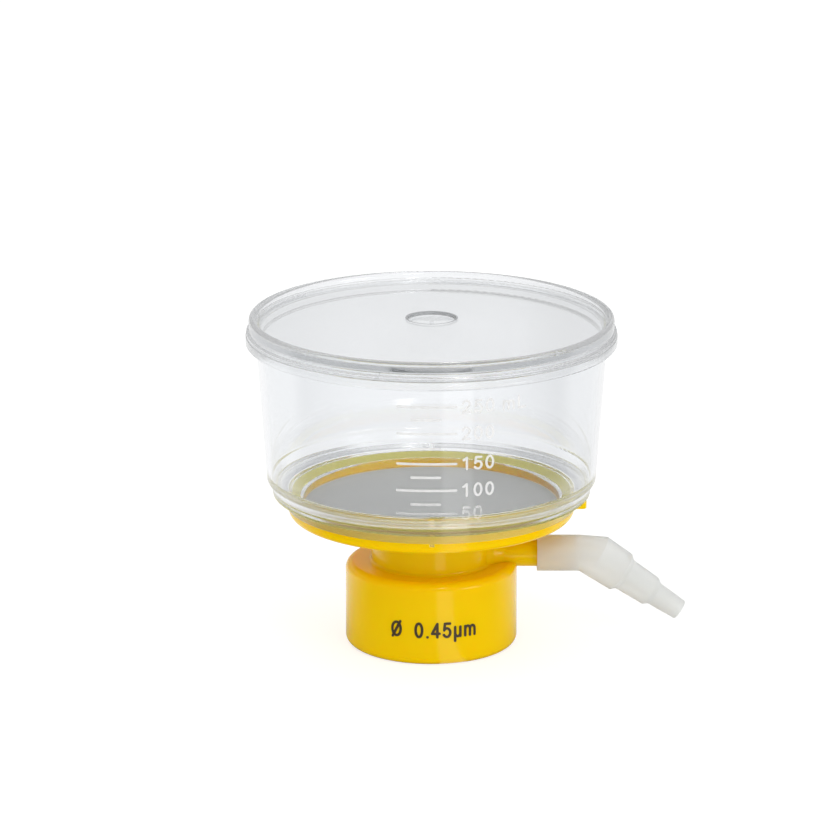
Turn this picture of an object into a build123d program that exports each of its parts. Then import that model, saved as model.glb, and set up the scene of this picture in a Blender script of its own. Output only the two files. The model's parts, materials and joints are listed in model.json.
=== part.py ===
from build123d import *
import os

# Bottle-top vacuum filter, 250 mL: a clear cup with a push-on lid, a round filter membrane
# and a moulded base that screws onto a bottle neck. Millimetres, +Z up.
# The origin is the centre of the collar's foot; the side arm points along +X.
# Heights are stacked from the collar's foot upwards, radii from the pieces they fit round.

# ---- screw collar and neck -----------------------------------------------------------------
bottle_bore_r = 22.3        # plain wall that carries the thread
collar_wall = 2.6
collar_height = 24.45
collar_foot_round = 2.1
collar_shoulder_round = 2.3
collar_top_wall = 2.6       # plate between the collar's hollow and its shoulder
gasket_thickness = 2.0
gasket_land = 0.7           # step between the bottle bore and the gasket's pocket
gasket_lip = 0.6            # the gasket's hole is wider than the neck's by this much each side
neck_r = 17.4
neck_wall = 1.8
neck_length = 11.8
neck_ceiling = 0.6          # the neck's hollow ends this far below the dish's underside

# ---- dish ----------------------------------------------------------------------------------
dish_r = 41.4
dish_belly_rise = 2.6       # the underside rises from the neck to the rim
dish_wall_height = 6.1
dish_foot_round = 1.9
rim_width = 3.0
rim_slope_drop = 1.1        # the rim's upper face falls inwards by this much
seat_depth = 3.3            # from the rim down to the shelf that the membrane lies on
seat_width = 2.3
drain_depth = 1.4           # floor below the shelf, at the shelf
drain_fall = 2.4            # further fall of the floor towards the spout
spout_bore_r = 4.0
spout_wall = 1.6
spout_length = 14.4         # below the neck's ceiling
spout_tip_cut = 1.0
rib_width = 1.0
rib_end_gap = 0.6           # groove left round the outer ends of the ribs
rib_root = 0.4              # how deep the ribs run into the floor
rib_sets = [(8, 7.0, 0.0), (8, 14.0, 22.5), (16, 23.0, 11.25)]  # count, inner radius, first angle
lug_reach = 3.6             # moulding lug beside the rim, above the side arm
lug_height = 1.9
lug_width = 3.2
lug_top_gap = 0.25

# ---- side arm ------------------------------------------------------------------------------
arm_r = 3.92
arm_bore_r = 2.1
arm_rise = 1.8              # arm's axis above the collar's shoulder
arm_length = 24.2           # from the neck's wall
arm_root_gap = 0.1          # the flare's root stays this far outside the neck's bore
arm_root_flare = 3.3
arm_flare_knee = 2.4        # the flare's knee beyond its root
arm_flare_length = 5.4
arm_knee_share = 0.35       # share of the flare that is left at the knee
arm_knee_round = 2.0
arm_flare_round = 3.0
arm_end_chamfer = 0.5
plug_length = 9.0
plug_inset = 2.0

# ---- clear cup -----------------------------------------------------------------------------
skirt_wall = 0.9
skirt_overlap = 2.85        # how far the skirt reaches down over the dish's rim
foot_ring_width = 3.55      # foot ring beyond the skirt
foot_ring_rise = 0.5        # its lower face above the dish's rim
foot_ring_height = 1.7
foot_shoulder_width = 1.6   # the wall starts this far outside the foot ring
foot_shoulder_height = 2.6
cup_wall = 1.45
cup_taper = 2.8             # the wall's radius grows by this much up to the rim flange
cup_wall_height = 40.0
rim_flange_width = 3.0
rim_flange_thickness = 2.7
lip_height = 1.8            # lip above the rim flange
lip_step = 0.1
throat_step = 0.9           # throat's wall outside the shelf's inner edge
throat_rise = 2.4           # throat's upper edge above the shelf
corner_round = 1.5
gusset_width = 1.4
gusset_inset = 0.7          # outer end inside the foot ring's edge
gusset_foot_gap = 0.1       # lower end above the skirt's edge
gusset_bite = 0.3           # how far it runs into the foot ring

# ---- lid -----------------------------------------------------------------------------------
lid_disc_thickness = 1.3
lid_skirt_wall = 1.35
lid_ring_width = 2.25
lid_ring_height = 1.8
lid_flare = 0.7
lid_flare_height = 0.9
lid_flare_slope = 0.15
lid_crown = 1.05            # the disc rises by this much from the ring to the dimple
lid_dimple_r = 7.0
lid_dimple_depth = 1.0
lid_dimple_floor = 0.6      # thickness left under the dimple
lid_gate_r = 0.6            # gate stub under the dimple
lid_gate_drop = 0.8
lid_ring_round_share = 0.47 # of the ring's width: its top is nearly a half round
nib_width = 1.0
nib_count = 4
nib_first_angle = -17.0
nib_foot_gap = 0.2          # lower end above the skirt's edge

# ---- membrane and hose adapter --------------------------------------------------------------
membrane_thickness = 0.2
socket_grip = 10.9          # length of side arm inside the adapter
socket_wall = 1.28
socket_run_out = 1.26       # round socket beyond the side arm's end
elbow_run_out = 5.0         # elbow's centre beyond the side arm's end
adapter_turn = 34.1         # degrees below the side arm's axis
adapter_bore_r = 1.9
# Hose barbs: start and end along the leg from the elbow, and the radii there.
barbs = [(1.49, 10.25, 6.4, 6.1), (11.6, 20.7, 4.9, 4.5), (22.1, 31.1, 3.5, 3.0)]
barb_end_round = 0.25

# ---- edges and corners ---------------------------------------------------------------------
fine_edge_round = 0.15
edge_round = 0.3            # ordinary moulded edge
lip_edge_round = 0.5        # the cup's upper and lower wall edges
floor_round = 0.4           # where the drain floor and the neck's bore turn
root_round = 0.8            # inner corner where one wall stands on another
wall_foot_round = 1.6       # the cup's wall over its foot shoulder
cut_over = 1.0              # how far a cut runs past the face it opens

# ---- clearances ----------------------------------------------------------------------------
weld_gap = 0.1              # cup round the dish's rim, and the membrane's edge
clamp_gap = 0.05            # cup's throat over the membrane
gasket_gap = 0.05
plug_gap = 0.05
swivel_gap = 0.05           # adapter's socket round the side arm
socket_floor_gap = 0.4      # socket's floor beyond the side arm's end
lid_rest_gap = 0.15         # lid's skirt over the cup's rim flange
lid_lip_gap = 0.3           # lid's disc over the cup's lip
lid_slip_gap = 0.65         # lid's skirt round the lip
nib_gap = 0.15              # lid's nibs round the lip

# ---- places and sizes that follow ------------------------------------------------------------
collar_r = bottle_bore_r + collar_wall
gasket_pocket_r = bottle_bore_r - gasket_land
gasket_top_z = collar_height - collar_top_wall
bottle_bore_depth = gasket_top_z - gasket_thickness
neck_bore_r = neck_r - neck_wall

dish_root_z = collar_height + neck_length
ceiling_z = dish_root_z - neck_ceiling
dish_foot_z = dish_root_z + dish_belly_rise
rim_z = dish_foot_z + dish_wall_height
rim_inner_r = dish_r - rim_width
rim_inner_z = rim_z - rim_slope_drop
shelf_r = rim_inner_r - seat_width
seat_z = rim_z - seat_depth
drain_outer_z = seat_z - drain_depth
drain_inner_z = drain_outer_z - drain_fall
spout_z = ceiling_z - spout_length

arm_z = collar_height + arm_rise
arm_end_x = neck_r + arm_length
adapter_x = arm_end_x - socket_grip
elbow_x = arm_end_x + elbow_run_out

skirt_inner_r = dish_r + weld_gap
skirt_r = skirt_inner_r + skirt_wall
skirt_z = rim_z - skirt_overlap
foot_ring_r = skirt_r + foot_ring_width
foot_ring_z = rim_z + foot_ring_rise
cup_foot_r = foot_ring_r + foot_shoulder_width
cup_foot_z = foot_ring_z + foot_ring_height + foot_shoulder_height
cup_top_r = cup_foot_r + cup_taper
flange_z = cup_foot_z + cup_wall_height
flange_top_z = flange_z + rim_flange_thickness
lip_r = cup_top_r + lip_step
lip_z = flange_top_z + lip_height
throat_r = shelf_r + throat_step
throat_z = seat_z + throat_rise

lid_inner_r = lip_r + lid_slip_gap
lid_ring_r = lid_inner_r + lid_skirt_wall
lid_skirt_r = lid_ring_r + lid_flare
lid_skirt_z = flange_top_z + lid_rest_gap
lid_under_z = lip_z + lid_lip_gap
lid_disc_z = lid_under_z + lid_disc_thickness
lid_crown_z = lid_disc_z + lid_crown
lid_dimple_z = lid_crown_z - lid_dimple_depth
lid_ring_z = lid_disc_z + lid_ring_height


def turned(corners, axis=Axis.Z):
    """Solid of revolution of a closed outline of (radius, height, corner rounding)."""
    points = [(r, z) for r, z, _ in corners]
    outline = FilletPolyline(*points, radius=[rounding for _, _, rounding in corners], close=True)
    return revolve(Plane.XZ * make_face(outline), axis)


def upright_rod(radius, height):
    """Round bar that stands on the plane z = 0."""
    return Cylinder(radius, height, align=(Align.CENTER, Align.CENTER, Align.MIN))


def rod_along_x(radius, start_x, end_x):
    """Round bar on the side arm's axis."""
    return Pos(start_x, 0, arm_z) * Rot(0, 90, 0) * upright_rod(radius, end_x - start_x)


def spoke(inner_r, outer_r, width, low_z, high_z, angle):
    """Upright radial block between two radii, turned about the Z axis."""
    block = Box(outer_r - inner_r, width, high_z - low_z, align=(Align.MIN, Align.CENTER, Align.MIN))
    return Rot(0, 0, angle) * Pos(inner_r, 0, low_z) * block


def base_shell():
    """Dish, neck, screw collar and drip spout: one outline turned about the axis."""
    spout_r = spout_bore_r + spout_wall
    return turned([
        (spout_bore_r, drain_inner_z, root_round),
        (shelf_r, drain_outer_z, floor_round),
        (shelf_r, seat_z, 0),
        (rim_inner_r, seat_z, 0),
        (rim_inner_r, rim_inner_z, 0),
        (dish_r, rim_z, edge_round),
        (dish_r, dish_foot_z, dish_foot_round),
        (neck_r, dish_root_z, root_round),
        (neck_r, collar_height, root_round),
        (collar_r, collar_height, collar_shoulder_round),
        (collar_r, 0, collar_foot_round),
        (bottle_bore_r, 0, 0),
        (bottle_bore_r, bottle_bore_depth, 0),
        (gasket_pocket_r, bottle_bore_depth, 0),
        (gasket_pocket_r, gasket_top_z, 0),
        (neck_bore_r, gasket_top_z, floor_round),
        (neck_bore_r, ceiling_z, root_round),
        (spout_r, ceiling_z, root_round),
        (spout_r, spout_z + spout_tip_cut, 0),
        (spout_bore_r + spout_wall / 3, spout_z, 0),
        (spout_bore_r, spout_z, 0),
    ])


def drain_ribs():
    """Radial ribs, level with the shelf, that hold the membrane up over the draining floor."""
    outer_r = shelf_r - rib_end_gap
    floor_slope = drain_fall / (shelf_r - spout_bore_r)
    ribs = []
    for count, inner_r, first in rib_sets:
        inner_z = drain_inner_z + floor_slope * (inner_r - spout_bore_r) - rib_root
        outer_z = drain_outer_z - floor_slope * rib_end_gap - rib_root
        corners = [(inner_r, inner_z), (outer_r, outer_z), (outer_r, seat_z), (inner_r, seat_z)]
        side = Polyline(*corners, close=True)
        rib = extrude(Plane.XZ * make_face(side), rib_width / 2, both=True)
        ribs += [Rot(0, 0, first + 360 / count * k) * rib for k in range(count)]
    return ribs


def side_arm():
    """Vacuum side arm: a tube along +X with a flared root and a chamfered end."""
    root_x = neck_bore_r + arm_root_gap
    arm = turned([
        (root_x, 0, 0),
        (root_x, arm_r + arm_root_flare, 0),
        (root_x + arm_flare_knee, arm_r + arm_root_flare * arm_knee_share, arm_knee_round),
        (root_x + arm_flare_length, arm_r, arm_flare_round),
        (arm_end_x - arm_end_chamfer, arm_r, 0),
        (arm_end_x, arm_r - arm_end_chamfer, 0),
        (arm_end_x, 0, 0),
    ], Axis.X)
    collar_hollow = upright_rod(bottle_bore_r, gasket_top_z)
    return Pos(0, 0, arm_z) * arm - collar_hollow


def rim_lug():
    """Small rounded moulding lug on the dish's side, straight above the side arm."""
    tip_x = dish_r + lug_reach - lug_width / 2
    root_x = dish_r - cut_over
    plan = Pos(root_x, 0) * Rectangle(tip_x - root_x, lug_width, align=(Align.MIN, Align.CENTER))
    plan += Pos(tip_x, 0) * Circle(lug_width / 2)
    return Pos(0, 0, skirt_z - lug_top_gap - lug_height) * extrude(plan, lug_height)


def make_base():
    air_way = rod_along_x(arm_bore_r, neck_bore_r - cut_over, arm_end_x + cut_over)
    return base_shell() + drain_ribs() + side_arm() + rim_lug() - air_way


def make_neck_gasket():
    inner_r = neck_bore_r + gasket_lip
    outer_r = gasket_pocket_r - gasket_gap
    return turned([
        (inner_r, gasket_top_z, 0),
        (inner_r, bottle_bore_depth, edge_round),
        (outer_r, bottle_bore_depth, edge_round),
        (outer_r, gasket_top_z, 0),
    ])


def make_vacuum_plug():
    """Fibre plug that keeps droplets out of the vacuum line."""
    end_x = arm_end_x - plug_inset
    return rod_along_x(arm_bore_r - plug_gap, end_x - plug_length, end_x)


def make_membrane():
    return Pos(0, 0, seat_z) * upright_rod(rim_inner_r - weld_gap, membrane_thickness)


def make_funnel():
    """Clear cup: rim flange, tapered wall, sloping throat and a skirt that grips the dish's rim."""
    clamp_z = seat_z + membrane_thickness + clamp_gap
    clamp_r = rim_inner_r - weld_gap
    cup = turned([
        (skirt_inner_r, skirt_z, fine_edge_round),
        (skirt_r, skirt_z, edge_round),
        (skirt_r, foot_ring_z, edge_round),
        (foot_ring_r, foot_ring_z, edge_round),
        (foot_ring_r, foot_ring_z + foot_ring_height, root_round),
        (cup_foot_r, cup_foot_z, wall_foot_round),
        (cup_top_r, flange_z, lip_edge_round),
        (cup_top_r + rim_flange_width, flange_z, lip_edge_round),
        (cup_top_r + rim_flange_width, flange_top_z, edge_round),
        (lip_r, flange_top_z, edge_round),
        (lip_r, lip_z, lip_edge_round),
        (cup_top_r - cup_wall, lip_z, lip_edge_round),
        (cup_foot_r - cup_wall, cup_foot_z + corner_round, corner_round),
        (throat_r, throat_z, lip_edge_round),
        (throat_r, clamp_z, 0),
        (clamp_r, clamp_z, 0),
        (clamp_r, rim_inner_z + weld_gap, 0),
        (skirt_inner_r, rim_z + weld_gap, 0),
    ])
    for angle in (-90, 90):
        cup += spoke(skirt_r - skirt_wall / 2, foot_ring_r - gusset_inset, gusset_width,
                     skirt_z + gusset_foot_gap, foot_ring_z + gusset_bite, angle)
    return cup


def make_lid():
    """Crowned disc with a raised ring, a centre dimple, a flared skirt and four centring nibs."""
    ring_round = lid_ring_width * lid_ring_round_share
    flare_z = lid_skirt_z + lid_flare_height
    middle_z = lid_dimple_z - lid_dimple_floor
    lid = turned([
        (0, middle_z - lid_gate_drop, 0),
        (lid_gate_r, middle_z - lid_gate_drop, 0),
        (lid_gate_r, middle_z, 0),
        (lid_inner_r, lid_under_z, edge_round),
        (lid_inner_r, lid_skirt_z, edge_round),
        (lid_skirt_r, lid_skirt_z, edge_round),
        (lid_skirt_r, flare_z, edge_round),
        (lid_ring_r, flare_z + lid_flare_slope, fine_edge_round),
        (lid_ring_r, lid_ring_z, ring_round),
        (lid_ring_r - lid_ring_width, lid_ring_z, ring_round),
        (lid_ring_r - lid_ring_width, lid_disc_z, edge_round),
        (lid_dimple_r, lid_crown_z, fine_edge_round),
        (lid_dimple_r, lid_dimple_z, edge_round),
        (0, lid_dimple_z, 0),
    ])
    for k in range(nib_count):
        lid += spoke(lip_r + nib_gap, lid_inner_r + lid_skirt_wall / 2, nib_width,
                     lid_skirt_z + nib_foot_gap, lid_under_z + lid_disc_thickness / 2,
                     nib_first_angle + 360 / nib_count * k)
    return lid


def make_hose_adapter():
    """Bent hose adapter: a socket on the side arm and three tapering barbs on the turned leg."""
    along_leg = Location((elbow_x, 0, arm_z), (0, 90 + adapter_turn, 0))
    socket_r = arm_r + swivel_gap + socket_wall
    socket_end_x = arm_end_x + socket_run_out
    socket_floor_x = arm_end_x + socket_floor_gap
    leg_start, leg_start_r = barbs[0][0], barbs[0][2]
    leg_end = barbs[-1][1]

    socket_rim = Location((socket_end_x, 0, arm_z), (0, 90, 0)) * Circle(socket_r)
    leg_rim = along_leg * Location((0, 0, leg_start)) * Circle(leg_start_r)
    outline = [(0, leg_start, 0)]
    for low, high, low_r, high_r in barbs:
        outline += [(low_r, low, 0), (high_r, high, barb_end_round)]
    outline.append((0, leg_end, 0))

    adapter = rod_along_x(socket_r, adapter_x, socket_end_x)
    adapter += loft([socket_rim, leg_rim], ruled=True)
    adapter += along_leg * turned(outline)
    adapter -= rod_along_x(arm_r + swivel_gap, adapter_x - cut_over, socket_floor_x)
    adapter -= rod_along_x(adapter_bore_r, socket_floor_x - cut_over, elbow_x)
    adapter -= Pos(elbow_x, 0, arm_z) * Sphere(adapter_bore_r)
    adapter -= along_leg * upright_rod(adapter_bore_r, leg_end + cut_over)
    return adapter


nodes = {
    "base": make_base,
    "neck_gasket": make_neck_gasket,
    "vacuum_plug": make_vacuum_plug,
    "membrane": make_membrane,
    "funnel": make_funnel,
    "lid": make_lid,
    "hose_adapter": make_hose_adapter,
}

os.makedirs("parts", exist_ok=True)
for name, make in nodes.items():
    export_step(make(), f"parts/{name}.step")
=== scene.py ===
import json
import math

import bpy
import numpy as np
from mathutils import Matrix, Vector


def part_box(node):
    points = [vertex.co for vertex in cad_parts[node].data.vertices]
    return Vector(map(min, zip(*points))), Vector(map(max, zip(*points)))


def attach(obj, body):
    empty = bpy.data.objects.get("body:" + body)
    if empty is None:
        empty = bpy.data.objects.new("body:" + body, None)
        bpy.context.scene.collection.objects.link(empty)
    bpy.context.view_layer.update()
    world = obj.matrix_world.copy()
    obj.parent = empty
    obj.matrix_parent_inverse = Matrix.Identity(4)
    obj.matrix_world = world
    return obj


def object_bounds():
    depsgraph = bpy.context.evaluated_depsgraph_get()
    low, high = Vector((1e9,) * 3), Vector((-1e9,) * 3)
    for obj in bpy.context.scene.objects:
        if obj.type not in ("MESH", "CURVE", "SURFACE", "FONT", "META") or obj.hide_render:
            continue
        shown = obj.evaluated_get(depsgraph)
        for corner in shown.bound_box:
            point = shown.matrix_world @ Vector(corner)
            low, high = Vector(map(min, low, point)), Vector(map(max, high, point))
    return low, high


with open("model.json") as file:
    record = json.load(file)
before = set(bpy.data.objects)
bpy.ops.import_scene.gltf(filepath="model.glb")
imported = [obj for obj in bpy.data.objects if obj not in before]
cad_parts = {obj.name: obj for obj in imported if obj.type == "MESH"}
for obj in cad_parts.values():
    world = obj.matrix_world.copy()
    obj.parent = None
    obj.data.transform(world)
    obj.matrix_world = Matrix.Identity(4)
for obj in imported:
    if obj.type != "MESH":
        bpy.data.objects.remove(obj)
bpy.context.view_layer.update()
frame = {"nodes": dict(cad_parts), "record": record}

bpy.context.view_layer.update()

# A bottle-top vacuum filter. The moulded parts come with the frame. This script gives them
# their plastics and adds what is printed on them, and the screw thread inside the collar.
# Lengths are in metres, and MM turns a length in millimetres into metres.
MM = 0.001

# ---- what the frame says ---------------------------------------------------------------------
mounts = {mount["name"]: mount for mount in frame["record"]["mounts"]}
bottle_bore = mounts["bottle_neck"]["dims"]["r_mm"] * MM
bottle_bore_depth = mounts["bottle_neck"]["dims"]["length_mm"] * MM
cup_low, cup_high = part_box("funnel")
membrane_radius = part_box("membrane")[1].x
arm_end, rim_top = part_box("base")[1].x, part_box("base")[1].z

# ---- print on the cup ------------------------------------------------------------------------
scale_left, scale_right = -10.1 * MM, 7.1 * MM         # long lines, measured round the wall
half_left, half_right = -6.1 * MM, 2.5 * MM            # short lines between them
line_width = 0.72 * MM
scale_heights = {"250": 84.3, "200": 76.4, "150": 67.5, "100": 59.6, "50": 52.7}
half_heights = [80.5, 72.0, 63.5, 55.5]
numeral_left = 8.2 * MM
numeral_height = 4.1 * MM
ink_thickness = 0.03 * MM
ink_gap = 0.01 * MM
ink_step = 0.0015 * MM                                 # each stroke over the one before it

# ---- print on the collar ---------------------------------------------------------------------
pore_text = "Ø  0.45µm"
pore_text_height = 4.8 * MM
pore_text_narrow = 0.82                                # width of its signs over that of the cup's
pore_text_left = -12.0 * MM
pore_text_foot = 8.3 * MM

# ---- where the clear plastic changes its look, and painted shade on it -----------------------
blur = 0.1 * MM                          # over which one look passes into the next
rim_width = 3.0 * MM                     # of the dish, where the cup is bonded to it
# skirt_share, throat_share and the lengths below place the painted rim, whose olive is painted shade
skirt_share = 0.40                       # how much of the rim shows in the skirt round it
throat_share = 0.6                       # and in the throat's wall behind
throat_edge = 1.2 * MM                   # from the rim's inner edge in to the throat's
throat_inset = 1.0 * MM                  # from the membrane's edge in to the throat's wall
throat_drop = 0.8 * MM                   # from the rim down to the wall's top
throat_fade = 15.0 * MM                  # from the middle back to where it shows in full
satin_roughness = 0.14                   # of the rounded rims
satin_width, satin_top = 3.0 * MM, 5.0 * MM            # of the upper rim, in from its edge and down
satin_foot = 6.0 * MM                    # of the lower rim, up from the dish's
satin_fade = 0.5 * MM
dimple_radius, dimple_floor = 7.0 * MM, 95.9 * MM      # of the lid's dimple
dimple_wall = 0.5 * MM                   # how wide its wall is, seen from above
dimple_wall_shade = 0.8                  # its wall gets a matt, painted grey shade

# ---- how clear plastic passes light ------------------------------------------------------------
clear_ior = 1.59
clear_tint, clear_absorbed, clear_density = (0.955, 0.963, 0.970, 1), (0.80, 0.82, 0.84, 1), 14.0
turns_clear, turns_lost = 7, 20          # turns up to which a ray is clear, and from which it is lost
painted_glow_level = 0.6                         # painted glow: even grey that a lost ray shows
lamp_share = (0.97, 0.975, 0.98, 1)      # of the lamps' light that goes straight through

# ---- colours, each from one shade to another -----------------------------------------------------
yellow_shades = (0.93, 0.57, 0.0, 1), (0.96, 0.60, 0.0, 1)
# painted shade: the yellow rim as it looks through the plastic, darkened to olive
painted_rim_shades = (0.86, 0.78, 0.20, 1), (0.92, 0.84, 0.26, 1)
film_shades = (0.60, 0.60, 0.59, 1), (0.65, 0.65, 0.63, 1)
film_rim_colour = (1.0, 0.72, 0.24, 1)
milk_shades = (0.95, 0.965, 0.94, 1), (0.98, 0.985, 0.97, 1)
# painted light: the warm glow of the yellow arm seen through the milky plastic
painted_arm_light_colour = (1.0, 0.76, 0.36, 1)
rubber_shades = (0.66, 0.66, 0.62, 1), (0.74, 0.74, 0.70, 1)
fibre_shades = (0.62, 0.62, 0.60, 1), (0.88, 0.88, 0.86, 1)
white_ink_shades = (0.86, 0.86, 0.85, 1), (0.93, 0.93, 0.92, 1)
dark_ink_shades = (0.085, 0.055, 0.018, 1), (0.05, 0.035, 0.02, 1)
# painted shade on the dimple's wall
dimple_shade_grey = (0.36, 0.37, 0.38, 1)

# ---- screw thread inside the collar ------------------------------------------------------------
thread_pitch = 6.0 * MM
thread_turns = 1.75
thread_start = 4.5 * MM
thread_depth = 0.8 * MM
thread_root = 2.6 * MM
thread_crest = 1.1 * MM
thread_fade = math.radians(30)
steps_per_turn = 96

# ---- levels of light, where 1 is white -----------------------------------------------------------
plain_light = 0.90                       # what matte surfaces get from all round
dark_room = 0.02                         # what reflections find in front of the unit
back_wall = 0.50                         # and behind it
side_dimming = 0.4                       # share of both that is lost to the sides
front_room = 0.85                        # what rays through the plastic find in front
ceiling_loss, side_loss = 0.12, 0.25     # how much darker they find it above and to the sides
floor_seen = 1.07                        # the floor's level through the plastic
floor_side_loss, floor_right_loss = 0.08, 0.07         # less of it beside the unit
floor_side = 0.02, 0.06                  # from here to there, in x
floor_glow = 0.70                        # the floor's own light to the camera, over what falls on it
table_light = 1.0                        # long soft light in the table in front, on the right
table_light_from, table_light_to = 0.11, 0.43          # its bearings from the front, in radians
table_light_blur = 0.03
light_turns = 40                         # bounces that a ray may make

# ---- lamps and camera ----------------------------------------------------------------------------
# Each lamp: place, aim, width, height, power.
lamps = {"key": ((0.25, -0.9, 0.9), (0, 0, 0.05), 0.16, 0.5, 2.0),
         "fill": ((0.9, -0.7, 0.2), (0, 0, 0.03), 0.5, 0.3, 1.5)}
sensor_width, focal_length = 36.0, 205.6               # both in millimetres
camera_distance = 1.363
camera_down = math.radians(15.95)
camera_aim = np.array([-5.03, 0.0, 68.15]) * MM


# ================================ shapes =======================================================
def outer_radius(node, height):
    """Radius of a node's outside at a height, where a level ray from the front meets it."""
    _, place, _, _ = frame["nodes"][node].ray_cast((0, -1, height), (0, 1, 0))
    return -place.y


def outward(points, quads, triangles):
    """A closed surface with its faces turned outwards: the sum of p0 . (p1 x p2) over its faces, cut
    into triangles, has the sign of its volume."""
    cut = np.concatenate([quads[:, [0, 1, 2]], quads[:, [0, 2, 3]], triangles])
    p0, p1, p2 = (points[cut[:, k]] for k in range(3))
    volume = (p0 * np.cross(p1, p2)).sum()
    return (points, quads[:, ::-1], triangles[:, ::-1]) if volume < 0 else (points, quads, triangles)


def solid_from(name, parts):
    """One mesh object of several closed surfaces, with its place in its vertices."""
    starts = np.cumsum([0] + [len(points) for points, _, _ in parts])
    points = np.concatenate([points for points, _, _ in parts])
    quads = np.concatenate([quads + start for (_, quads, _), start in zip(parts, starts)])
    triangles = np.concatenate([triangles + start for (_, _, triangles), start in zip(parts, starts)])
    mesh = bpy.data.meshes.new(name)
    mesh.from_pydata(points.tolist(), [], quads.tolist() + triangles.tolist())
    mesh.validate()
    made = bpy.data.objects.new(name, mesh)
    bpy.context.scene.collection.objects.link(made)
    return made


def carried(rings, closed=False):
    """A profile carried along a path: rings[i, j] is point j of the profile at step i.
    Neighbouring rings are joined by quads. A closed path joins its ends, and an open one closes each
    by a fan about its middle."""
    steps, around = rings.shape[:2]
    i, j = np.meshgrid(np.arange(steps if closed else steps - 1), np.arange(around), indexing="ij")
    next_i, next_j = (i + 1) % steps, (j + 1) % around
    quads = np.stack([i * around + j, i * around + next_j,
                      next_i * around + next_j, next_i * around + j], axis=-1).reshape(-1, 4)
    points = rings.reshape(-1, 3)
    if closed:
        return outward(points, quads, np.empty((0, 3), dtype=int))
    points = np.concatenate([points, rings[[0, -1]].mean(axis=1)])
    first, last = steps * around, steps * around + 1
    k = np.arange(around)
    next_k = (k + 1) % around
    end = (steps - 1) * around
    fans = np.concatenate([np.stack([np.full(around, first), next_k, k], axis=-1),
                           np.stack([np.full(around, last), end + k, end + next_k], axis=-1)])
    return outward(points, quads, fans)


def wrapped(flat, radius_at):
    """Lays flat points on an upright round wall. x runs round the wall from its front, y is the
    height, and z stands out from it: angle = x / R(y), point = ((R + z) sin, -(R + z) cos, y)."""
    x, y, z = flat[..., 0], flat[..., 1], flat[..., 2]
    radius = radius_at(y)
    angle = x / radius
    return np.stack([(radius + z) * np.sin(angle), -(radius + z) * np.cos(angle), y], axis=-1)


def stroke_rings(points, width, lift):
    """Rings of a flat printed stroke along points x, y in the plane of the print. Each ring is a loop
    of four corners, half a width to each side at two heights over the wall. An open stroke has round
    ends past its end points: its half width is sqrt(h^2 - d^2) at a distance d past them."""
    loop_steps, run_steps, cap_steps, cap_start = 48, 20, 6, 0.2
    half = width / 2
    closed = np.allclose(points[0], points[-1])
    if not closed:
        start = points[0] - points[1]
        end = points[-1] - points[-2]
        points = np.concatenate([[points[0] + half * start / np.hypot(*start)], points,
                                 [points[-1] + half * end / np.hypot(*end)]])
    length = np.concatenate([[0], np.cumsum(np.hypot(*np.diff(points, axis=0).T))])
    total = length[-1]
    if closed:
        place = np.linspace(0, total, loop_steps + 1)[:-1]
        share = np.ones_like(place)
    else:
        cap = half * (1 - np.cos(np.linspace(cap_start, math.pi / 2, cap_steps)))
        middle = np.linspace(half, total - half, run_steps + 2)[1:-1]
        place = np.concatenate([cap, middle, total - cap[::-1]])
        past_end = np.clip((half - np.minimum(place, total - place)) / half, 0, 1)
        share = np.sqrt(1 - past_end ** 2)
    x, y = np.interp(place, length, points[:, 0]), np.interp(place, length, points[:, 1])
    if closed:
        along = np.roll(x, -1) - np.roll(x, 1), np.roll(y, -1) - np.roll(y, 1)
    else:
        along = np.gradient(x), np.gradient(y)
    reach = half * share / np.hypot(*along)
    low, high = ink_gap + lift, ink_gap + lift + ink_thickness
    loop = [(-1, low), (1, low), (1, high), (-1, high)]
    return np.stack([np.stack([x - side * reach * along[1], y + side * reach * along[0],
                               np.full_like(x, out)], axis=-1) for side, out in loop], axis=1), closed


def run(*corners):
    """Straight strokes from corner to corner."""
    return [np.array(pair, dtype=float) for pair in zip(corners[:-1], corners[1:])]


def bow(x, y, across, up, start, end):
    """One stroke along an ellipse: (x + across cos a, y + up sin a), a from start to end in degrees."""
    steps = 32
    angle = np.radians(np.linspace(start, end, steps + 1))
    return [np.stack([x + across * np.cos(angle), y + up * np.sin(angle)], axis=-1)]


# The signs of the print: strokes in a box one high, and how far on the next sign starts.
sign_stroke = 0.165
signs = {
    "0": (bow(0.34, 0.50, 0.24, 0.42, 0, 360), 0.83),
    "1": (run((0.16, 0.74), (0.38, 0.91), (0.38, 0.08)), 0.83),
    "2": (bow(0.33, 0.67, 0.23, 0.25, 170, -35) + run((0.52, 0.53), (0.10, 0.09), (0.58, 0.09)), 0.83),
    "4": (run((0.46, 0.08), (0.46, 0.91), (0.08, 0.30), (0.62, 0.30)), 0.83),
    "5": (run((0.56, 0.91), (0.19, 0.91), (0.14, 0.50)) + bow(0.33, 0.35, 0.25, 0.27, 138, -150), 0.83),
    "m": (run((0.10, 0.08), (0.10, 0.66)) + bow(0.29, 0.44, 0.19, 0.22, 180, 0)
          + run((0.48, 0.44), (0.48, 0.08)) + bow(0.67, 0.44, 0.19, 0.22, 180, 0)
          + run((0.86, 0.44), (0.86, 0.08)), 1.16),
    "L": (run((0.10, 0.92), (0.10, 0.08), (0.58, 0.08)), 0.78),
    "µ": (run((0.12, -0.20), (0.12, 0.66)) + bow(0.32, 0.30, 0.20, 0.22, 180, 360)
          + run((0.52, 0.66), (0.52, 0.08)), 0.80),
    "Ø": (bow(0.42, 0.50, 0.33, 0.42, 0, 360) + run((0.12, 0.02), (0.72, 0.98)), 0.98),
    ".": (run((0.14, 0.08), (0.15, 0.08)), 0.40),
    " ": ([], 0.40),
}


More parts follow.
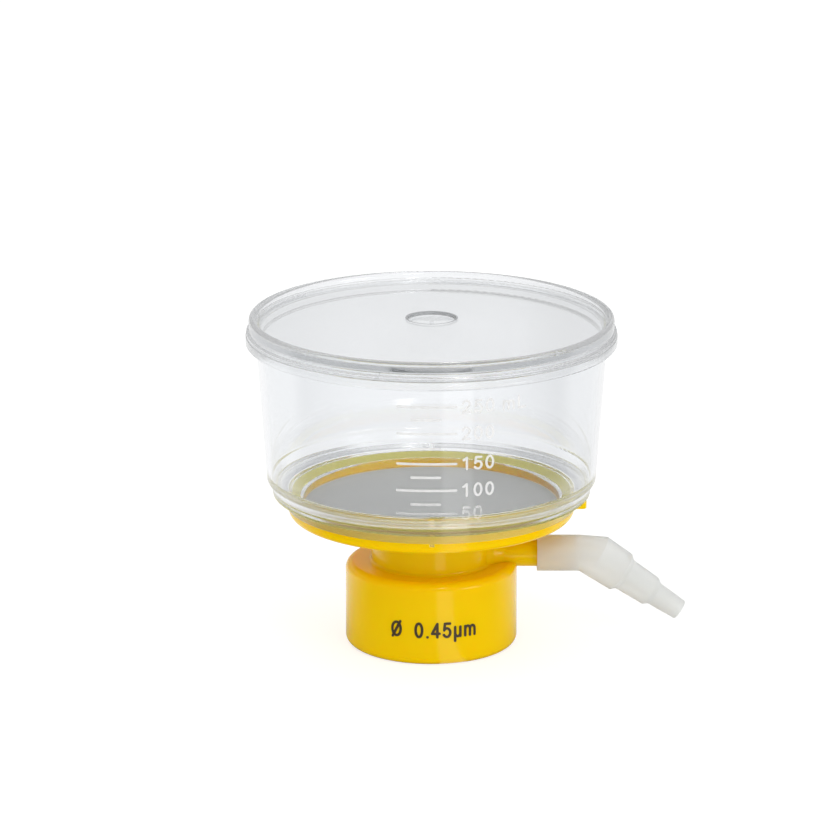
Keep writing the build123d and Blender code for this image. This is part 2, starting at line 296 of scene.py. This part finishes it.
def text_strokes(words, left, foot, height, narrow=1.0):
    """The strokes of a line of print, its lower left corner at left and foot."""
    strokes = []
    for sign in words:
        drawn, step = signs[sign]
        strokes += [points * (height * narrow, height) + (left, foot) for points in drawn]
        left += step * height * narrow
    return strokes


def printed(name, strokes, width, radius_at):
    """One mesh of strokes of a width, laid on a round wall."""
    parts = []
    for k, points in enumerate(strokes):
        rings, closed = stroke_rings(points, width, k * ink_step)
        parts.append(carried(wrapped(rings, radius_at), closed))
    return solid_from(name, parts)


def thread_rings():
    """The thread's ridge: a low trapezium carried along a helix on the bore's wall. Its height
    rises from and falls back to nearly nothing over the fade at each end, as a quarter sine."""
    least, overlap = 0.02, 0.05 * MM
    turn = np.linspace(0, thread_turns * 2 * math.pi, int(steps_per_turn * thread_turns))
    share = np.clip(np.minimum(turn, turn[-1] - turn) / thread_fade, least, 1)
    depth = thread_depth * np.sin(share * math.pi / 2)
    wall = bottle_bore + overlap
    loop = [(-thread_root / 2, 0), (-thread_crest / 2, 1), (thread_crest / 2, 1), (thread_root / 2, 0)]
    rings = []
    for up, inwards in loop:
        radius = wall - inwards * depth
        z = thread_start + thread_pitch * turn / (2 * math.pi) + up
        rings.append(np.stack([radius * np.cos(turn), radius * np.sin(turn), z], axis=-1))
    return np.stack(rings, axis=1)


# ================================ materials ====================================================
class Socket:
    """A shader socket that takes part in arithmetic: an expression on values adds Math nodes."""

    def __init__(self, tree, socket=None):
        self.tree = tree
        self.socket = socket

    def node(self, kind, settings=None, inputs=None, output=0):
        """Adds any node: its settings first, then the values or links of its inputs."""
        made = self.tree.nodes.new(kind)
        for key, value in (settings or {}).items():
            setattr(made, key, value)
        for key, value in (inputs or {}).items():
            if isinstance(value, Socket):
                self.tree.links.new(value.socket, made.inputs[key])
            else:
                made.inputs[key].default_value = value
        return Socket(self.tree, made.outputs[output])

    def math(self, operation, *values):
        return self.node("ShaderNodeMath", {"operation": operation}, dict(enumerate(values)))

    def __add__(self, other):
        return self.math("ADD", self, other)

    def __radd__(self, other):
        return self.math("ADD", other, self)

    def __sub__(self, other):
        return self.math("SUBTRACT", self, other)

    def __rsub__(self, other):
        return self.math("SUBTRACT", other, self)

    def __mul__(self, other):
        return self.math("MULTIPLY", self, other)

    def __pow__(self, other):
        return self.math("POWER", self, other)


def new_material(name):
    """A material with an empty node tree, and its output node."""
    material = bpy.data.materials.new(name)
    material.use_nodes = True
    material.node_tree.nodes.clear()
    output = material.node_tree.nodes.new("ShaderNodeOutputMaterial")
    return material, Socket(material.node_tree), output


def show(start, output, surface, volume=None):
    start.tree.links.new(surface.socket, output.inputs["Surface"])
    if volume is not None:
        start.tree.links.new(volume.socket, output.inputs["Volume"])


def object_coords(start):
    return start.node("ShaderNodeTexCoord", output="Object")


def noise(start, coords, scale, detail=2.0, roughness=0.5):
    return start.node("ShaderNodeTexNoise", inputs={
        "Vector": coords, "Scale": scale, "Detail": detail, "Roughness": roughness})


def mix_colour(start, factor, first, second):
    return start.node("ShaderNodeMix", {"data_type": "RGBA"},
                      {0: factor, 6: first, 7: second}, output=2)


def between(start, value, low, high, soft=True):
    """0 below low, 1 above high, and a smooth rise between."""
    return start.node("ShaderNodeMapRange", {"interpolation_type": "SMOOTHSTEP" if soft else "LINEAR"},
                      {"Value": value, "From Min": low, "From Max": high, "To Min": 0.0, "To Max": 1.0})


def below(start, value, low, high):
    """1 below low, 0 above high, and a smooth fall between."""
    return 1.0 - between(start, value, low, high)


def part_of(start, vector, axis):
    """The x, y or z of a vector, as axis 0, 1 or 2."""
    return start.node("ShaderNodeSeparateXYZ", inputs={0: vector}, output=axis)


def radius_of(start, coords):
    """Distance from the common axis."""
    x, y = part_of(start, coords, 0), part_of(start, coords, 1)
    return (x * x + y * y) ** 0.5


def painted_rim_share(start, coords):
    """Where the yellow rim is painted onto the cup, with its shade painted as olive: all of it on the
    cup's underside over the dish's rim, and less on the skirt round the rim and in the throat's wall
    behind."""
    radius, height = radius_of(start, coords), part_of(start, coords, 2)
    underneath = below(start, height, rim_top + blur, rim_top + 2 * blur)
    on_rim = (between(start, radius, rim_inner - blur, rim_inner + blur)
              * below(start, radius, rim_outer + 0.5 * blur, rim_outer + 0.8 * blur) * underneath)
    round_rim = (below(start, radius, rim_outer + 1.5 * blur, rim_outer + 2 * blur)
                 * between(start, radius, rim_outer - 2 * blur, rim_outer) * underneath)
    throat_outer, throat_wall = rim_inner - throat_edge, membrane_radius - throat_inset
    throat_top = rim_top - throat_drop
    throat_back = (below(start, radius, throat_outer - blur, throat_outer + blur)
                   * between(start, radius, throat_wall, throat_wall + blur)
                   * below(start, height, throat_top, throat_top + blur)
                   * between(start, part_of(start, coords, 1), 0.0, throat_fade))
    return start.math("MAXIMUM", start.math("MAXIMUM", on_rim, throat_back * throat_share),
                      round_rim * skirt_share)


def dimple_shade_share(start, coords):
    """1 on the wall of the round dimple in the middle of the lid, where grey shade is painted."""
    radius, height = radius_of(start, coords), part_of(start, coords, 2)
    wall_outer = dimple_radius + dimple_wall
    return (between(start, radius, dimple_radius - 1.5 * blur, dimple_radius - 0.5 * blur)
            * below(start, radius, wall_outer, wall_outer + blur)
            * between(start, height, dimple_floor + 0.5 * blur, dimple_floor + blur))


def satin_share(start, coords):
    """1 on the rounded rims of cup and lid, outside the radii of the clear floor and disc."""
    radius, height = radius_of(start, coords), part_of(start, coords, 2)
    inner, lowest, highest = cup_high.x - satin_width, cup_high.z - satin_top, rim_top + satin_foot
    at_top = (between(start, radius, inner - satin_fade, inner)
              * between(start, height, lowest - satin_fade, lowest))
    at_foot = (between(start, radius, rim_outer - blur, rim_outer + blur)
               * below(start, height, highest - satin_fade, highest))
    return start.math("MAXIMUM", at_top, at_foot)


def clear_plastic(name, painted_rim):
    """Polished polystyrene. It bends light and darkens where it is thick, and a very slow ripple
    in its skin unsettles reflections. A ray that turns about inside it many times finds a painted
    even grey glow, and light from the lamps goes straight through to what is behind. On the cup the
    yellow rim it is bonded to is painted in, with its shade painted as olive. On the lid the dimple's
    wall is painted a matt grey shade."""
    material, start, output = new_material(name)
    coords = object_coords(start)
    ripple = noise(start, coords, 20.0, 1.0)
    normal = start.node("ShaderNodeBump", inputs={"Strength": 0.1, "Distance": 0.00001, "Height": ripple})
    haze = noise(start, coords, 90.0, 3.0)
    satin = satin_share(start, coords) * satin_roughness
    surface = start.node("ShaderNodeBsdfPrincipled", inputs={
        "Base Color": clear_tint, "Roughness": 0.005 + haze * 0.02 + satin, "IOR": clear_ior,
        "Transmission Weight": 1.0, "Normal": normal})
    if painted_rim:
        # the yellow rim painted in, with its shade painted as olive
        painted_share = painted_rim_share(start, coords)
        mark = start.node("ShaderNodeBsdfPrincipled", inputs={
            "Base Color": mix_colour(start, haze, *painted_rim_shades),
            "Roughness": 0.5 + haze * 0.1, "Specular IOR Level": 0.0})
    else:
        # painted grey shade on the dimple's wall
        painted_share = dimple_shade_share(start, coords) * dimple_wall_shade
        mark = start.node("ShaderNodeBsdfPrincipled", inputs={
            "Base Color": dimple_shade_grey, "Roughness": 0.5 + haze * 0.1})
    surface = start.node("ShaderNodeMixShader", inputs={0: painted_share, 1: surface, 2: mark})
    # Painted glow: past turns_clear turns, the plastic shows an even grey light of its own.
    turns = start.node("ShaderNodeLightPath", output="Ray Depth")
    lost = between(start, turns, turns_clear, turns_lost, soft=False)
    glow = start.node("ShaderNodeEmission", inputs={"Color": (1, 1, 1, 1), "Strength": painted_glow_level})
    surface = start.node("ShaderNodeMixShader", inputs={0: lost, 1: surface, 2: glow})
    lamp_ray = start.node("ShaderNodeLightPath", output="Is Shadow Ray")
    pass_on = start.node("ShaderNodeBsdfTransparent", inputs={"Color": lamp_share})
    surface = start.node("ShaderNodeMixShader", inputs={0: lamp_ray, 1: surface, 2: pass_on})
    material.cycles.emission_sampling = "NONE"
    volume = start.node("ShaderNodeVolumeAbsorption",
                        inputs={"Color": clear_absorbed, "Density": clear_density})
    show(start, output, surface, volume)
    return material


def yellow_plastic():
    """Glossy moulded polypropylene, a little uneven in colour, with a fine skin."""
    material, start, output = new_material("yellow_plastic")
    coords = object_coords(start)
    cloud = noise(start, coords, 22.0, 3.0)
    colour = mix_colour(start, cloud, *yellow_shades)
    skin = noise(start, coords, 900.0, 2.0)
    normal = start.node("ShaderNodeBump", inputs={"Strength": 0.05, "Distance": 0.0001, "Height": skin})
    body = start.node("ShaderNodeBsdfPrincipled", inputs={
        "Base Color": colour, "Roughness": 0.10 + cloud * 0.08, "IOR": 1.49, "Specular IOR Level": 0.35,
        "Subsurface Weight": 0.5, "Subsurface Scale": 0.006, "Subsurface Radius": (1.0, 0.4, 0.05),
        "Normal": normal})
    show(start, output, body)
    return material


def membrane_film():
    """Grey microporous film with a fine tooth. Its rim is melted into the seat and shows orange."""
    material, start, output = new_material("membrane")
    coords = object_coords(start)
    sealed = between(start, radius_of(start, coords),
                     membrane_radius - 1.6 * MM, membrane_radius - 1.2 * MM)
    cloud = noise(start, coords, 60.0, 3.0)
    film = mix_colour(start, cloud, *film_shades)
    colour = mix_colour(start, sealed, film, film_rim_colour)
    tooth = noise(start, coords, 4000.0, 2.0)
    normal = start.node("ShaderNodeBump", inputs={"Strength": 0.25, "Distance": 0.00003, "Height": tooth})
    body = start.node("ShaderNodeBsdfPrincipled", inputs={
        "Base Color": colour, "Roughness": 0.75 - sealed * 0.3, "Normal": normal})
    show(start, output, body)
    return material


def milky_plastic():
    """Natural polypropylene: milky, passes blurred light, with a satin moulded skin. A warm tint
    painted over the yellow arm inside it stands in for the arm's light showing through, and fades
    out past the arm's end."""
    material, start, output = new_material("milky_plastic")
    coords = object_coords(start)
    cloud = noise(start, coords, 120.0, 3.0)
    milk = mix_colour(start, cloud, *milk_shades)
    # painted light of the yellow arm, along its length inside the adapter
    painted_arm_share = below(start, part_of(start, coords, 0), arm_end - 14.0 * MM, arm_end + 1.0 * MM)
    colour = mix_colour(start, painted_arm_share * 0.3, milk, painted_arm_light_colour)
    skin = noise(start, coords, 1500.0, 2.0)
    normal = start.node("ShaderNodeBump", inputs={"Strength": 0.12, "Distance": 0.0001, "Height": skin})
    body = start.node("ShaderNodeBsdfPrincipled", inputs={
        "Base Color": colour, "Roughness": 0.42 + cloud * 0.1, "IOR": 1.49,
        "Transmission Weight": 0.5, "Normal": normal})
    show(start, output, body)
    return material


def gasket_rubber():
    """Off-white silicone with a matte, slightly dusty skin."""
    material, start, output = new_material("gasket")
    coords = object_coords(start)
    dust = noise(start, coords, 700.0, 4.0)
    colour = mix_colour(start, dust, *rubber_shades)
    normal = start.node("ShaderNodeBump", inputs={"Strength": 0.2, "Distance": 0.0001, "Height": dust})
    body = start.node("ShaderNodeBsdfPrincipled", inputs={
        "Base Color": colour, "Roughness": 0.6 + dust * 0.2, "Normal": normal})
    show(start, output, body)
    return material


def pressed_fibre():
    """White fibres pressed into a plug: long noise cells along the arm give the strands."""
    material, start, output = new_material("fibre_plug")
    coords = object_coords(start)
    drawn = start.node("ShaderNodeMapping", inputs={"Vector": coords, "Scale": (0.25, 1.0, 1.0)})
    strands = noise(start, drawn, 9000.0, 5.0, 0.7)
    colour = mix_colour(start, strands, *fibre_shades)
    normal = start.node("ShaderNodeBump", inputs={"Strength": 0.8, "Distance": 0.0001, "Height": strands})
    body = start.node("ShaderNodeBsdfPrincipled", inputs={
        "Base Color": colour, "Roughness": 0.95, "Normal": normal})
    show(start, output, body)
    return material


def ink(name, shades, patch_scale, cover, fade=None):
    """Screen-printed ink: a dry film whose cover varies a little. Where a fade is given as two
    heights, the cover goes from its first value at the lower one to its second at the upper."""
    material, start, output = new_material(name)
    coords = object_coords(start)
    patches = noise(start, coords, patch_scale, 3.0)
    thin, full = cover
    share = thin + between(start, part_of(start, coords, 2), *fade) * (full - thin) if fade else full
    normal = start.node("ShaderNodeBump", inputs={"Strength": 0.2, "Distance": 0.00002, "Height": patches})
    body = start.node("ShaderNodeBsdfPrincipled", inputs={
        "Base Color": mix_colour(start, patches, *shades), "Roughness": 0.45 + patches * 0.2,
        "Alpha": share + patches * 0.1, "Normal": normal})
    show(start, output, body)
    return material


def dress(thing, material):
    thing.data.materials.clear()
    thing.data.materials.append(material)


# ================================ the unit ====================================================
rim_outer = outer_radius("base", rim_top - 1.0 * MM)
rim_inner = rim_outer - rim_width
# The cup gets the painted rim with its painted shade; the lid, painted shade on its dimple's wall.
cup_plastic = clear_plastic("clear_plastic", painted_rim=True)
lid_plastic = clear_plastic("clear_plastic_lid", painted_rim=False)
yellow = yellow_plastic()
white_ink = ink("white_ink", white_ink_shades, 900.0, (0.15, 0.6), fade=(52.7 * MM, 58.0 * MM))
dark_ink = ink("dark_ink", dark_ink_shades, 1200.0, (0.9, 0.95))

dress(frame["nodes"]["funnel"], cup_plastic)
dress(frame["nodes"]["lid"], lid_plastic)
dress(frame["nodes"]["base"], yellow)
dress(frame["nodes"]["membrane"], membrane_film())
dress(frame["nodes"]["hose_adapter"], milky_plastic())
dress(frame["nodes"]["neck_gasket"], gasket_rubber())
dress(frame["nodes"]["vacuum_plug"], pressed_fibre())

# Two heights on the straight stretch of the cup's wall give its taper.
wall_heights = [cup_low.z + share * (cup_high.z - cup_low.z) for share in (0.30, 0.80)]
wall_radii = [outer_radius("funnel", height) for height in wall_heights]
collar_radius = outer_radius("base", bottle_bore_depth / 2)


def cup_wall(height):
    """Radius of the cup's outside, in line with the radii at two heights."""
    share = (height - wall_heights[0]) / (wall_heights[1] - wall_heights[0])
    return wall_radii[0] + share * (wall_radii[1] - wall_radii[0])


def collar_wall(height):
    """Radius of the collar's outside, the same at every height."""
    return np.full_like(height, collar_radius)


def add_print(thing, material):
    dress(thing, material)
    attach(thing, "filter_body")


def level_line(left, right, height):
    """A printed line between two places round the wall."""
    return run((left + line_width / 2, height), (right - line_width / 2, height))


for number, height in scale_heights.items():
    height *= MM
    line = level_line(scale_left, scale_right, height)
    add_print(printed(f"scale_line_{number}", line, line_width, cup_wall), white_ink)
    words = "250 mL" if number == "250" else number
    strokes = text_strokes(words, numeral_left, height - numeral_height / 2, numeral_height)
    add_print(printed(f"scale_number_{number}", strokes, sign_stroke * numeral_height, cup_wall), white_ink)

for k, height in enumerate(half_heights):
    line = level_line(half_left, half_right, height * MM)
    add_print(printed(f"scale_half_line_{k + 1}", line, line_width, cup_wall), white_ink)

strokes = text_strokes(pore_text, pore_text_left, pore_text_foot, pore_text_height, pore_text_narrow)
add_print(printed("pore_size", strokes, sign_stroke * pore_text_height, collar_wall), dark_ink)

thread = solid_from("collar_thread", [carried(thread_rings())])
dress(thread, yellow)
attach(thread, "filter_body")

# ================================ light and camera ============================================
scene = bpy.context.scene
scene.view_settings.view_transform = "Standard"
scene.cycles.max_bounces = light_turns
scene.cycles.glossy_bounces = light_turns
scene.cycles.transmission_bounces = light_turns
scene.cycles.transparent_max_bounces = light_turns


def ray_kinds(start):
    """Rays from the camera, rays that a surface mirrored, and rays that came out of the plastic."""
    camera, glossy, through = [start.node("ShaderNodeLightPath", output=kind) for kind in
                               ("Is Camera Ray", "Is Glossy Ray", "Is Transmission Ray")]
    return camera, glossy * (1.0 - through), through


def white_world():
    """White to the camera. Reflections find it light behind the unit and dark in front of it, rays
    through the plastic find it white behind and less so elsewhere, and all else gets plain light."""
    world = bpy.data.worlds.new("studio")
    world.use_nodes = True
    tree = world.node_tree
    tree.nodes.clear()
    start = Socket(tree)
    output = tree.nodes.new("ShaderNodeOutputWorld")
    camera, mirror, through = ray_kinds(start)
    direction = start.node("ShaderNodeTexCoord", output="Generated")
    x, y, z = (part_of(start, direction, axis) for axis in range(3))
    behind = between(start, y, 0.0, 0.45)
    up = between(start, z, 0.1, 0.9)
    aside = between(start, x * x, 0.2, 0.9)
    mirrored = (dark_room + behind * (back_wall - dark_room)) * (1.0 - aside * side_dimming)
    seen = 1.0 - (1.0 - behind) * (1.0 - front_room) - up * ceiling_loss - aside * side_loss
    level = plain_light + mirror * (mirrored - plain_light) + through * (seen - plain_light)
    level = level + camera * (1.0 - level)
    background = start.node("ShaderNodeBackground", inputs={"Color": (1, 1, 1, 1), "Strength": level})
    tree.links.new(background.socket, output.inputs["Surface"])
    scene.world = world


def lamp(name, place, aim, width, height, power):
    """A soft rectangular lamp that looks from place towards aim."""
    data = bpy.data.lights.new(name, "AREA")
    data.shape = "RECTANGLE"
    data.size, data.size_y = width, height
    data.energy = power
    made = bpy.data.objects.new(name, data)
    made.location = place
    sight = Vector(aim) - Vector(place)
    made.rotation_euler = sight.to_track_quat("-Z", "Y").to_euler()
    scene.collection.objects.link(made)


def pale_floor():
    """A wide pale floor under the part. To the camera it is white, but for the part's shadow. Through
    the plastic it is plain white, a little darker beside the unit. Reflections find it dark in front
    of the unit but for the table light, and white behind it."""
    reach = 6.0
    mesh = bpy.data.meshes.new("floor")
    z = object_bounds()[0].z - 0.05 * MM
    corners = [(-reach, -reach, z), (reach, -reach, z), (reach, reach, z), (-reach, reach, z)]
    mesh.from_pydata(corners, [], [(0, 1, 2, 3)])
    made = bpy.data.objects.new("floor", mesh)
    scene.collection.objects.link(made)
    material, start, output = new_material("floor")
    camera, mirror, through = ray_kinds(start)
    x, y = (part_of(start, object_coords(start), axis) for axis in (0, 1))
    behind = between(start, y, -0.03, 0.05)
    bearing = start.math("ARCTAN2", x, 0.0 - y)
    edge = table_light_blur
    inside = (between(start, bearing, table_light_from - edge, table_light_from + edge)
              * below(start, bearing, table_light_to - edge, table_light_to + edge))
    mirrored = dark_room + behind * (1.0 - dark_room) + inside * table_light
    matte = start.node("ShaderNodeBsdfDiffuse", inputs={"Color": (0.97, 0.97, 0.97, 1)})
    shaded = start.node("ShaderNodeBsdfDiffuse", inputs={"Color": (0.42, 0.42, 0.42, 1)})
    glow = start.node("ShaderNodeEmission", inputs={"Color": (1, 1, 1, 1), "Strength": floor_glow})
    pale = start.node("ShaderNodeAddShader", inputs={0: shaded, 1: glow})
    reflection = start.node("ShaderNodeEmission", inputs={"Color": (1, 1, 1, 1), "Strength": mirrored})
    to_side = between(start, start.math("ABSOLUTE", x), *floor_side)
    to_right = between(start, x, *floor_side)
    clear_view = start.node("ShaderNodeEmission", inputs={
        "Color": (0.985, 0.99, 1, 1),
        "Strength": floor_seen - to_side * floor_side_loss - to_right * floor_right_loss})
    look = start.node("ShaderNodeMixShader", inputs={0: camera, 1: matte, 2: pale})
    look = start.node("ShaderNodeMixShader", inputs={0: through, 1: look, 2: clear_view})
    show(start, output, start.node("ShaderNodeMixShader", inputs={0: mirror, 1: look, 2: reflection}))
    dress(made, material)


def aim_camera():
    """Long lens, looking a little down on the unit from the front."""
    data = bpy.data.cameras.new("camera")
    data.sensor_width, data.lens = sensor_width, focal_length
    data.clip_start, data.clip_end = 0.05, 50.0
    made = bpy.data.objects.new("camera", data)
    outwards = np.array([0.0, -math.cos(camera_down), math.sin(camera_down)])
    made.location = camera_aim + camera_distance * outwards
    made.rotation_euler = (math.pi / 2 - camera_down, 0.0, 0.0)
    scene.collection.objects.link(made)
    scene.camera = made


white_world()
pale_floor()
for name, values in lamps.items():
    lamp(name, *values)
aim_camera()
